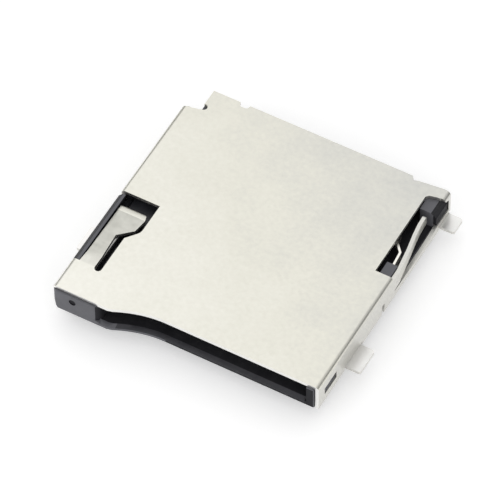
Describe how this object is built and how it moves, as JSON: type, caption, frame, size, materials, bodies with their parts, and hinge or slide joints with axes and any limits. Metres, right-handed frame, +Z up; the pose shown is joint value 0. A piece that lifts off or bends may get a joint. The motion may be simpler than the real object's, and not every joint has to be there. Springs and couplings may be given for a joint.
{
  "type": "sd card socket",
  "caption": "Low push-push memory card socket for a board: folded metal shell over a black moulding, with spring contacts, an ejector slider with cam pin and spring, and a card detect switch.",
  "frame": {"origin": "on the board's surface, on the line through the two locating pegs, in the middle of the shell's width", "axes": "+Z up from the board, +Y the way a card goes in and towards the solder tails, +X towards the card switch; the ejector slider is on the -X side"},
  "size_m": [0.0166, 0.0154, 0.0026],
  "materials": {
    "tinned_steel": "satin tin plating",
    "black_plastic": "fine moulded grain",
    "slider_plastic": "fine moulded grain",
    "plated_bronze": "bright plated",
    "spring_steel": "drawn wire"
  },
  "bodies": {
    "socket": {"housing": "black_plastic", "shell": "tinned_steel", "contact_1": "plated_bronze", "contact_2": "plated_bronze", "contact_3": "plated_bronze", "contact_4": "plated_bronze", "contact_5": "plated_bronze", "contact_6": "plated_bronze", "contact_7": "plated_bronze", "contact_8": "plated_bronze", "detect_terminal": "plated_bronze", "coil_spring": "spring_steel"},
    "ejector": {"slider": "slider_plastic"},
    "latch": {"cam_pin": "spring_steel"}
  },
  "joints": [
    {"name": "slider_slide", "type": "slide", "parent": "socket", "child": "ejector", "axis": [0, 1, 0], "range_m": [0, 0.0034], "stiffness_N_per_m": 700, "springref_m": -0.0015, "deforming": ["coil_spring"]},
    {"name": "cam_pin_swing", "type": "hinge", "parent": "socket", "child": "latch", "pos_m": [-0.0064, -0.0034, 0.00116], "axis": [0, 0, -1], "range_deg": [0, 8.5]}
  ]
}
